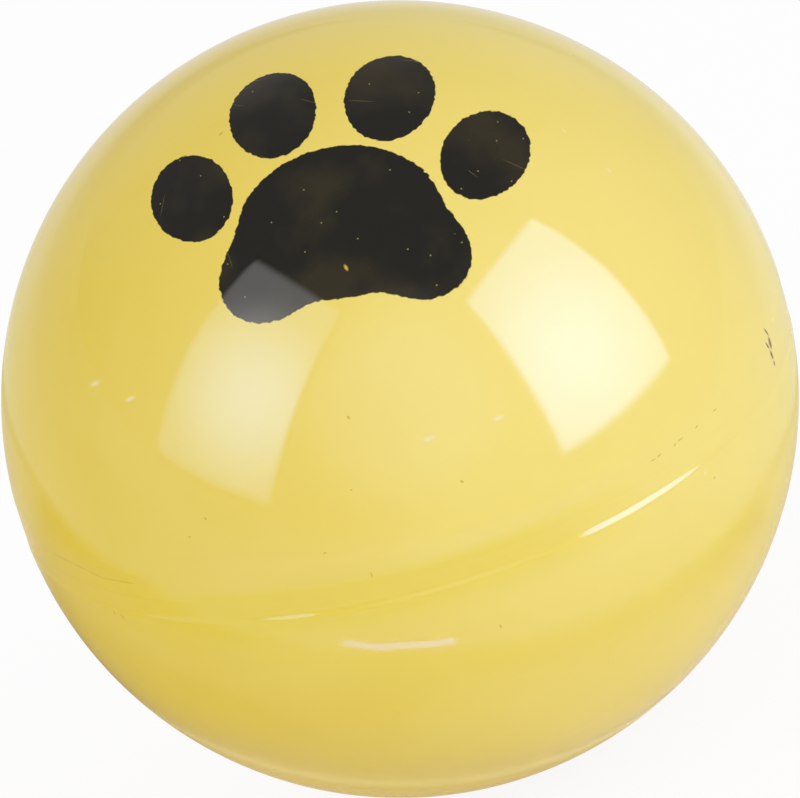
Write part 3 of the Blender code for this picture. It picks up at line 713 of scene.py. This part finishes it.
def shell_plastic(name):
    """The plastic of both shells: its shader, coordinates, and colour before any print, with painted light
    and shade in that colour.
    """
    material, tree, shader, coords = new_material(name)
    shader.inputs["IOR"].default_value = PLASTIC_IOR
    # Lamps show cream in the polish, not lemon
    shader.inputs["Specular Tint"].default_value = (*POLISH_TINT, 1.0)
    height = add_node(tree, "ShaderNodeSeparateXYZ", {"Vector": coords}).outputs["Z"]
    # Painted light: paler on the side toward the brighter box
    aside = add_vector(tree, "DOT_PRODUCT", coords, PAINTED_LIT_SIDE)
    painted_light_and_cloud = add_range(tree, aside, PAINTED_LIT_FROM, PAINTED_LIT_TO, 0.0, 1.0)
    # Painted shade: deeper yellow towards the foot
    low = add_range(tree, height, PAINTED_SHADE_FROM, 0.0, PAINTED_SHADE_BELOW, 0.0, smooth=True)
    cloud = add_noise(tree, coords, CLOUD_SIZE, detail=2.0)
    cloud = add_range(tree, cloud, CLOUD_LOW, CLOUD_HIGH, -CLOUD_SHARE, CLOUD_SHARE)
    painted_light_and_cloud = add_math(tree, "ADD", add_math(tree, "SUBTRACT", painted_light_and_cloud, low), cloud)
    colour = add_mix(tree, painted_light_and_cloud, YELLOW_DEEP, YELLOW_PALE)
    # Painted shade along the groove in front
    facing = add_vector(tree, "DOT_PRODUCT", coords, GROOVE_SHADE_SIDE)
    groove_shade = add_range(tree, facing, GROOVE_SHADE_FROM, GROOVE_SHADE_TO, 0.0, GROOVE_SHADE_SHARE)
    from_below = add_range(tree, height, *GROOVE_SHADE_BELOW, 0.0, 1.0, smooth=True)
    from_above = add_range(tree, height, *GROOVE_SHADE_ABOVE, 1.0, 0.0, smooth=True)
    groove_shade = add_math(tree, "MULTIPLY", groove_shade, add_math(tree, "MULTIPLY", from_below, from_above))
    return material, tree, shader, coords, add_mix(tree, groove_shade, colour, YELLOW_GROOVE_SHADE)


def add_wear(tree, shader, coords, colour):
    """Scratches, nicks, specks and chips over plastic and print alike."""
    toward = add_vector(tree, "DOT_PRODUCT", coords, WIPED_SIDE)
    strewn = add_range(tree, toward, WIPED_FROM, WIPED_TO, 1.0, 0.0)
    nick = add_math(tree, "MULTIPLY", sparse_marks(tree, coords, **STREWN_NICKS), strewn)
    nick = add_math(tree, "MAXIMUM", nick, placed_marks(tree, coords, NICKS, NICK_SOLID))
    nick = add_math(tree, "MULTIPLY", nick, NICK_SHARE)
    speck = add_math(tree, "MULTIPLY", sparse_marks(tree, coords, **STREWN_SPECKS), strewn)
    speck = add_math(tree, "MAXIMUM", speck, placed_marks(tree, coords, SPECKS, SPECK_SOLID))
    for marks, mark_colour in (
        (nick, NICK_PALE),
        (speck, SPECK_BROWN),
        (placed_marks(tree, coords, CHIPS, CHIP_SOLID), CHIP_BROWN),
        (placed_marks(tree, coords, GOUGES, CHIP_SOLID), GOUGE_BROWN),
    ):
        colour = add_mix(tree, marks, colour, mark_colour)
    tree.links.new(colour, shader.inputs["Base Color"])

    haze = add_range(tree, add_noise(tree, coords, HAZE_SIZE), HAZE_LOW, HAZE_HIGH, *HAZE_ROUGHNESS)
    dull = add_math(tree, "MULTIPLY", nick, NICK_DULL)
    tree.links.new(add_math(tree, "MAXIMUM", haze, dull), shader.inputs["Roughness"])
    hair = add_noise(tree, coords, HAIR_SIZE, detail=2.0, stretch=HAIR_RUN)
    ripple = add_noise(tree, coords, RIPPLE_SIZE, detail=1.0)
    height = add_math(tree, "ADD", ripple, add_math(tree, "MULTIPLY", hair, HAIR_SHARE))
    height = add_math(tree, "SUBTRACT", height, add_math(tree, "MULTIPLY", nick, NICK_DEPTH))
    add_bump(tree, shader, height, RIPPLE_DEPTH)


plain_plastic, tree, shader, coords, yellow = shell_plastic("plain_plastic")
add_wear(tree, shader, coords, yellow)
lower_shell.data.materials.clear()
lower_shell.data.materials.append(plain_plastic)
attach(lower_shell, "ball")
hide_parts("lower_shell")


# Paw print on the upper shell
# One large paw, screen printed in black ink: a three-lobed pad and four toes. The mesh of the screen leaves
# fine teeth along its edges, and dust leaves pinholes.
INK_BLACK = (0.013, 0.0115, 0.0085)
INK_THIN = (0.03, 0.024, 0.011)
INK_PATCH = 4 * MM
INK_PATCH_LOW, INK_PATCH_HIGH = 0.45, 0.65
INK_POLISH = (1.0, 1.0, 1.0)
PRINT_TILT_DEG = 33.0
PRINT_TURN_DEG = -10.0
PRINT_DEPTH = 0.6 * MM
LOBE_BLEND = 1.6 * MM
TOOTH_PITCH = 0.34 * MM
TOOTH_DEPTH = 0.05 * MM
EDGE_BLUR = 0.03 * MM
PINHOLES = {"spacing": 1.7 * MM, "half_length": 0.055 * MM, "half_width": 0.05 * MM, "rarity": 0.75}
INK_SCRATCHES = {"spacing": 3.5 * MM, "half_length": 0.8 * MM, "half_width": 0.025 * MM, "rarity": 0.6}
INK_SCRATCH_SHARE = 0.35
INK_WORN_SHARE = 0.4
# Each pad: across and up from the middle of the print, half width, half height, turn in degrees
PAD_LOBES = (
    (0.0, -2.2, 5.6, 4.6, 0.0),
    (-4.1, -4.6, 2.9, 2.7, 25.0),
    (4.1, -4.6, 2.9, 2.7, -25.0),
)
TOES = (
    (-8.3, 1.6, 2.3, 3.3, 28.0),
    (-3.3, 6.0, 2.45, 3.6, 9.0),
    (3.3, 6.0, 2.45, 3.6, -9.0),
    (8.3, 1.6, 2.3, 3.3, -28.0),
)

tilt = math.radians(PRINT_TILT_DEG)
turn = math.radians(PRINT_TURN_DEG)
print_middle = Vector((0.0, -math.sin(tilt), math.cos(tilt)))
level = Vector((1.0, 0.0, 0.0))
uphill = print_middle.cross(level)
print_across = level * math.cos(turn) + uphill * math.sin(turn)
print_up = uphill * math.cos(turn) - level * math.sin(turn)


def pad_distance(tree, coords, across, up, half_width, half_height, turn_deg):
    """Distance from the edge of one oval pad, in metres, below zero inside it."""
    spread = math.hypot(across, up) * MM / BALL_RADIUS
    heading = (print_across * across + print_up * up).normalized()
    middle = print_middle * math.cos(spread) + heading * math.sin(spread)
    side = (print_across - middle * print_across.dot(middle)).normalized()
    rise = middle.cross(side)
    lean = math.radians(turn_deg)
    width_axis = (side * math.cos(lean) + rise * math.sin(lean)) / (half_width * MM)
    height_axis = (rise * math.cos(lean) - side * math.sin(lean)) / (half_height * MM)
    reach = oval_reach(tree, coords, middle * BALL_RADIUS, width_axis, height_axis)
    beyond = add_math(tree, "SUBTRACT", reach, 1.0)
    return add_math(tree, "MULTIPLY", beyond, (half_width + half_height) / 2 * MM)


printed_plastic, tree, shader, coords, yellow = shell_plastic("printed_plastic")
pad, *more_lobes = (pad_distance(tree, coords, *lobe) for lobe in PAD_LOBES)
for lobe in more_lobes:
    inputs = {0: pad, 1: lobe, 2: LOBE_BLEND}
    pad = add_node(tree, "ShaderNodeMath", inputs, operation="SMOOTH_MIN").outputs["Value"]
for toe in TOES:
    pad = add_math(tree, "MINIMUM", pad, pad_distance(tree, coords, *toe))
teeth = add_noise(tree, coords, TOOTH_PITCH, detail=1.0)
teeth = add_range(tree, teeth, NOISE_LOW, NOISE_HIGH, -TOOTH_DEPTH, TOOTH_DEPTH)
ink = add_range(tree, add_math(tree, "ADD", pad, teeth), -EDGE_BLUR, EDGE_BLUR, 1.0, 0.0, smooth=True)
# Pinholes and hair scratches, and only the outer face takes ink
scratch = add_math(tree, "MULTIPLY", sparse_marks(tree, coords, **INK_SCRATCHES), INK_SCRATCH_SHARE)
worn = add_math(tree, "MAXIMUM", sparse_marks(tree, coords, **PINHOLES), scratch)
worn = add_math(tree, "MULTIPLY", worn, INK_WORN_SHARE)
ink = add_math(tree, "MULTIPLY", ink, add_math(tree, "SUBTRACT", 1.0, worn))
outside = add_math(tree, "GREATER_THAN", add_vector(tree, "LENGTH", coords), BALL_RADIUS - PRINT_DEPTH)
ink = add_math(tree, "MULTIPLY", ink, outside)
thinner = add_range(tree, add_noise(tree, coords, INK_PATCH), INK_PATCH_LOW, INK_PATCH_HIGH, 0.0, 1.0)
black = add_mix(tree, thinner, INK_BLACK, INK_THIN)
add_wear(tree, shader, coords, add_mix(tree, ink, yellow, black))
tree.links.new(add_mix(tree, ink, POLISH_TINT, INK_POLISH), shader.inputs["Specular Tint"])
upper_shell.data.materials.append(printed_plastic)
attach(upper_shell, "ball")
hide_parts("upper_shell")


# Camera
# A long lens from the front, above the ball and rolled, so that the ball fills the frame and its pole leans
# to the left.
VIEW_ELEVATION_DEG = 24.5
VIEW_ROLL_DEG = 16.75
VIEW_DISTANCE = 16 * BALL_RADIUS
FRAME_WIDTH = 800
BALL_WIDTH_IN_FRAME = 798
SENSOR_WIDTH = 36.0
NEAREST_SEEN = 0.01

elevation = math.radians(VIEW_ELEVATION_DEG)
roll = math.radians(VIEW_ROLL_DEG)
backward = Vector((0.0, -math.cos(elevation), math.sin(elevation)))
upright = backward.cross(level)
right = level * math.cos(roll) - upright * math.sin(roll)
up = level * math.sin(roll) + upright * math.cos(roll)


def facing_matrix(across, upright, outward, place):
    """Matrix that turns a camera or a flat panel to these three directions at this place."""
    facing = Matrix((across, upright, outward)).transposed().to_4x4()
    facing.translation = place
    return facing


camera_data = bpy.data.cameras.new("front_camera")
ball_spread = BALL_RADIUS / math.sqrt(VIEW_DISTANCE**2 - BALL_RADIUS**2)
camera_data.sensor_width = SENSOR_WIDTH
camera_data.lens = SENSOR_WIDTH / 2 / (ball_spread * FRAME_WIDTH / BALL_WIDTH_IN_FRAME)
camera_data.clip_start = NEAREST_SEEN
camera = bpy.data.objects.new("front_camera", camera_data)
bpy.context.scene.collection.objects.link(camera)
camera.location = backward * VIEW_DISTANCE
camera.rotation_euler = facing_matrix(right, up, backward, camera.location).to_euler()
bpy.context.scene.camera = camera
bpy.context.scene.view_settings.view_transform = "Standard"


# Floor
# A plain white table top under the ball. The camera sees it near white, and it keeps the ball's soft shadow.
FLOOR_WIDTH = 3.0
FLOOR_WHITE = (0.9, 0.9, 0.9)
FLOOR_ROUGHNESS = 0.7
FLOOR_GLOW_SHARE = 0.9

bpy.ops.object.select_all(action="DESELECT")
bpy.ops.mesh.primitive_plane_add(size=FLOOR_WIDTH, location=(0.0, 0.0, cad_box[0].z))
floor = bpy.context.object
floor.name = "table_top"
bpy.ops.object.transform_apply(location=True, rotation=True, scale=True)
table_white, tree, paint, coords = new_material("table_white")
paint.inputs["Base Color"].default_value = (*FLOOR_WHITE, 1.0)
paint.inputs["Roughness"].default_value = FLOOR_ROUGHNESS
seen = tree.nodes.new("ShaderNodeLightPath").outputs["Is Camera Ray"]
glow = add_node(tree, "ShaderNodeEmission", {"Strength": 1.0})
share = add_math(tree, "MULTIPLY", seen, FLOOR_GLOW_SHARE)
inputs = {"Fac": share, 1: paint.outputs["BSDF"], 2: glow.outputs["Emission"]}
blend = add_node(tree, "ShaderNodeMixShader", inputs)
tree.links.new(blend.outputs["Shader"], tree.nodes["Material Output"].inputs["Surface"])
floor.data.materials.append(table_white)
floor.visible_glossy = False


# Table in the polish
# The ball lies tipped on its table but is drawn upright, so the table that the polish shows is tipped. It is
# white, with the ball's own yellow mirrored in it round the foot and a bright strip in front.
TABLE_LOOK_DOWN_DEG = 38.8
TABLE_WIDTH = 3.0
TABLE_LEVEL = 1.0
# The table falls off in brightness to the sides
TABLE_LEVEL_ASIDE = 0.72
ASIDE_FROM, ASIDE_TO = 2.5 * BALL_RADIUS, 5.0 * BALL_RADIUS
# Behind the ball its mirror image is foreshortened
BEHIND_STRETCH = 1.35
# The right of the mirror image is lit by the nearer box, and its left is in shade close to the foot
LIT_SIDE = (0.75, 0.62, 0.48)
LIT_ACROSS = (0.25 * BALL_RADIUS, 0.75 * BALL_RADIUS)
LIT_INNER = (0.75 * BALL_RADIUS, 0.8 * BALL_RADIUS)
LIT_OUTER = (1.5 * BALL_RADIUS, 1.95 * BALL_RADIUS)
SHADED_SIDE = (0.42, 0.3, 0.16)
SHADED_ACROSS = (-0.9 * BALL_RADIUS, -0.35 * BALL_RADIUS)
SHADED_OUTER = (1.2 * BALL_RADIUS, 1.5 * BALL_RADIUS)
# Behind the ball the table shows instead of its mirror image
HIDDEN_BEHIND = (0.73, 0.64, 0.46)
HIDDEN_FROM = (0.05 * BALL_RADIUS, 0.6 * BALL_RADIUS)
HIDDEN_OUTER = (2.16 * BALL_RADIUS, 2.45 * BALL_RADIUS)
# Radius from the foot in ball radii, and the colour that shows there
MIRROR_REACH = 18.0
MIRROR_RINGS = (
    (0.0, (0.65, 0.5, 0.3)),
    (0.66, (0.65, 0.5, 0.3)),
    (0.7, (0.86, 0.75, 0.54)),
    (0.735, (0.86, 0.75, 0.54)),
    (0.79, (0.42, 0.31, 0.4)),
    (1.2, (0.44, 0.33, 0.33)),
    (1.5, (0.52, 0.39, 0.27)),
    (1.85, (0.46, 0.33, 0.2)),
    (2.08, (0.4, 0.28, 0.03)),
    (2.2, (0.43, 0.32, 0.05)),
    (2.45, (0.8, 0.78, 0.6)),
    (3.2, (0.78, 0.76, 0.62)),
    (4.6, (0.8, 0.78, 0.72)),
    (6.5, (0.8, 0.78, 0.76)),
    (16.0, (0.6, 0.58, 0.56)),
)
STRIP_AHEAD = 2.45 * BALL_RADIUS
STRIP_WIDTH = 1.14 * BALL_RADIUS
STRIP_HEIGHT = 0.22 * BALL_RADIUS
STRIP_RISE = 0.1 * MM
STRIP_LEVELS = (4.7, 5.8)
STRIP_COOL = (0.5, 0.5, 1.0)
# The strip steps down near its middle, and its edges and ends are soft
KINK_ACROSS = (-0.16 * STRIP_WIDTH, 0.02 * STRIP_WIDTH)
KINK_HEIGHTS = (0.14 * STRIP_HEIGHT, -0.1 * STRIP_HEIGHT)
STRIP_EDGE = (0.26 * STRIP_HEIGHT, 0.42 * STRIP_HEIGHT)
STRIP_END = (0.44 * STRIP_WIDTH, 0.5 * STRIP_WIDTH)


def mirrored_panel(name, facing, width, height):
    """Plane that shows only in reflections: its node tree, emission and own coordinates."""
    bpy.ops.object.select_all(action="DESELECT")
    bpy.ops.mesh.primitive_plane_add(size=1.0)
    panel = bpy.context.object
    panel.name = name
    panel.scale = (width, height, 1.0)
    bpy.ops.object.transform_apply(location=True, rotation=True, scale=True)
    panel.matrix_world = facing
    panel.visible_camera = False
    panel.visible_diffuse = False
    panel.visible_transmission = False
    panel.visible_shadow = False
    material, tree, shader, coords = new_material(f"{name}_glow")
    tree.nodes.remove(shader)
    glow = tree.nodes.new("ShaderNodeEmission")
    tree.links.new(glow.outputs["Emission"], tree.nodes["Material Output"].inputs["Surface"])
    panel.data.materials.append(material)
    return tree, glow, coords


look_down = math.radians(TABLE_LOOK_DOWN_DEG)
table_up = up * math.cos(look_down) + backward * math.sin(look_down)
table_back = up * math.sin(look_down) - backward * math.cos(look_down)
foot = -table_up * BALL_RADIUS
facing = facing_matrix(right, table_back, table_up, foot)
tree, glow, coords = mirrored_panel("mirrored_table", facing, TABLE_WIDTH, TABLE_WIDTH)
table = add_node(tree, "ShaderNodeSeparateXYZ", {"Vector": coords}).outputs
stretched = add_math(tree, "MAXIMUM", table["Y"], add_math(tree, "MULTIPLY", table["Y"], BEHIND_STRETCH))
drawn = add_node(tree, "ShaderNodeCombineXYZ", {"X": table["X"], "Y": stretched}).outputs["Vector"]
reach = add_vector(tree, "LENGTH", drawn)
share = add_range(tree, reach, 0.0, MIRROR_REACH * BALL_RADIUS, 0.0, 1.0)
rings = add_node(tree, "ShaderNodeValToRGB", {"Fac": share})
while len(rings.color_ramp.elements) < len(MIRROR_RINGS):
    rings.color_ramp.elements.new(0.5)
for element, (radius, colour) in zip(rings.color_ramp.elements, MIRROR_RINGS):
    element.position = radius / MIRROR_REACH
    element.color = (*colour, 1.0)
lit = add_range(tree, table["X"], *LIT_ACROSS, 0.0, 1.0, smooth=True)
lit = add_math(tree, "MULTIPLY", lit, add_range(tree, reach, *LIT_OUTER, 1.0, 0.0, smooth=True))
lit = add_math(tree, "MULTIPLY", lit, add_range(tree, reach, *LIT_INNER, 0.0, 1.0))
colour = add_mix(tree, lit, rings.outputs["Color"], LIT_SIDE)
shaded = add_range(tree, table["X"], *SHADED_ACROSS, 1.0, 0.0, smooth=True)
shaded = add_math(tree, "MULTIPLY", shaded, add_range(tree, reach, *SHADED_OUTER, 1.0, 0.0, smooth=True))
colour = add_mix(tree, shaded, colour, SHADED_SIDE)
hidden = add_range(tree, table["Y"], *HIDDEN_FROM, 0.0, 1.0, smooth=True)
hidden = add_math(tree, "MULTIPLY", hidden, add_range(tree, reach, *HIDDEN_OUTER, 1.0, 0.0))
tree.links.new(add_mix(tree, hidden, colour, HIDDEN_BEHIND), glow.inputs["Color"])
aside = add_math(tree, "ABSOLUTE", table["X"])
brightness = add_range(tree, aside, ASIDE_FROM, ASIDE_TO, TABLE_LEVEL, TABLE_LEVEL_ASIDE, smooth=True)
tree.links.new(brightness, glow.inputs["Strength"])

facing = facing_matrix(right, table_back, table_up, foot - table_back * STRIP_AHEAD + table_up * STRIP_RISE)
tree, glow, coords = mirrored_panel("mirrored_strip", facing, STRIP_WIDTH, STRIP_HEIGHT)
strip = add_node(tree, "ShaderNodeSeparateXYZ", {"Vector": coords}).outputs
kink = add_range(tree, strip["X"], *KINK_ACROSS, *KINK_HEIGHTS, smooth=True)
off_line = add_math(tree, "ABSOLUTE", add_math(tree, "SUBTRACT", strip["Y"], kink))
narrow = add_range(tree, off_line, *STRIP_EDGE, 1.0, 0.0, smooth=True)
ends = add_range(tree, add_math(tree, "ABSOLUTE", strip["X"]), *STRIP_END, 1.0, 0.0, smooth=True)
along = add_range(tree, strip["X"], -STRIP_WIDTH / 2, STRIP_WIDTH / 2, *STRIP_LEVELS)
glow.inputs["Color"].default_value = (*STRIP_COOL, 1.0)
tree.links.new(along, glow.inputs["Strength"])
clear = tree.nodes.new("ShaderNodeBsdfTransparent")
share = add_math(tree, "MULTIPLY", narrow, ends)
inputs = {"Fac": share, 1: clear.outputs["BSDF"], 2: glow.outputs["Emission"]}
blend = add_node(tree, "ShaderNodeMixShader", inputs)
tree.links.new(blend.outputs["Shader"], tree.nodes["Material Output"].inputs["Surface"])


# Studio light
# Two soft boxes in front, each a lamp that lights the ball and a soft-edged panel that shows as a window in
# the polish. The room is pale behind and dim on the camera's side, as a light tent is.
LEFT_BOX = {
    "place": (-0.313, -0.2525, 0.298), "turn_deg": (65.7, 16.7, -55.7), "width": 0.343, "height": 0.575,
    "lamp_radiance": 0.58, "panel_radiance": (1.9, 6.8), "bulb_place": (0.047, -0.044, 0.0),
}
RIGHT_BOX = {
    "place": (0.39, -0.247, 0.1915), "turn_deg": (86.4, -3.6, 55.2), "width": 0.385, "height": 0.51,
    "lamp_radiance": 1.11, "panel_radiance": (5.1, 9.3), "bulb_place": (-0.05, -0.07, 0.0),
}
BULB_SPREAD = 0.8
SOFT_EDGE = 0.12
ROOM_FILL_FRONT = 0.88
ROOM_FILL_BACK = 0.72
ROOM_FRONT = 0.2
ROOM_BACK = 0.58
ROOM_BACK_FROM = 0.6
# The bright opening of the tent, round the camera
ROOM_OPENING = 1.1
OPENING_FROM = 0.82

for name, box in (("left", LEFT_BOX), ("right", RIGHT_BOX)):
    box_turn = Euler([math.radians(angle) for angle in box["turn_deg"]])
    facing = Matrix.LocRotScale(Vector(box["place"]), box_turn, None)
    lamp_data = bpy.data.lights.new(f"{name}_lamp", "AREA")
    lamp_data.shape = "RECTANGLE"
    lamp_data.size = box["width"]
    lamp_data.size_y = box["height"]
    lamp_data.energy = box["lamp_radiance"] * math.pi * box["width"] * box["height"]
    lamp = bpy.data.objects.new(f"{name}_lamp", lamp_data)
    bpy.context.scene.collection.objects.link(lamp)
    lamp.matrix_world = facing
    lamp.visible_glossy = False

    # Brightest where the bulb is, and soft at the edges of the cloth
    tree, glow, coords = mirrored_panel(f"{name}_softbox", facing, box["width"], box["height"])
    cloth = add_node(tree, "ShaderNodeSeparateXYZ", {"Vector": coords}).outputs
    off_bulb = add_vector(tree, "DISTANCE", coords, box["bulb_place"])
    dim, bright = box["panel_radiance"]
    brightness = add_range(tree, off_bulb, 0.0, box["width"] * BULB_SPREAD, bright, dim, smooth=True)
    for axis, extent in (("X", box["width"] / 2), ("Y", box["height"] / 2)):
        off_middle = add_math(tree, "ABSOLUTE", cloth[axis])
        edge = add_range(tree, off_middle, extent * (1.0 - SOFT_EDGE), extent, 1.0, 0.0, smooth=True)
        brightness = add_math(tree, "MULTIPLY", brightness, edge)
    tree.links.new(brightness, glow.inputs["Strength"])

world = bpy.data.worlds.new("light_tent")
bpy.context.scene.world = world
world.use_nodes = True
tree = world.node_tree
rays = tree.nodes.new("ShaderNodeLightPath").outputs
toward = tree.nodes.new("ShaderNodeTexCoord").outputs["Generated"]
depth = add_node(tree, "ShaderNodeSeparateXYZ", {"Vector": toward}).outputs["Y"]
mirrored = add_range(tree, depth, ROOM_BACK_FROM, 1.0, ROOM_FRONT, ROOM_BACK, smooth=True)
opening = add_vector(tree, "DOT_PRODUCT", toward, backward)
opening = add_range(tree, opening, OPENING_FROM, 1.0, 0.0, ROOM_OPENING, smooth=True)
mirrored = add_math(tree, "ADD", mirrored, opening)
glossy = rays["Is Glossy Ray"]
fill = add_range(tree, depth, -1.0, 1.0, ROOM_FILL_FRONT, ROOM_FILL_BACK)
fill = add_math(tree, "MULTIPLY", add_math(tree, "SUBTRACT", 1.0, glossy), fill)
room = add_math(tree, "ADD", fill, add_math(tree, "MULTIPLY", glossy, mirrored))
direct = add_math(tree, "MAXIMUM", rays["Is Camera Ray"], rays["Is Transmission Ray"])
background = tree.nodes["Background"]
background.inputs["Color"].default_value = (1.0, 1.0, 1.0, 1.0)
tree.links.new(add_math(tree, "MAXIMUM", room, direct), background.inputs["Strength"])
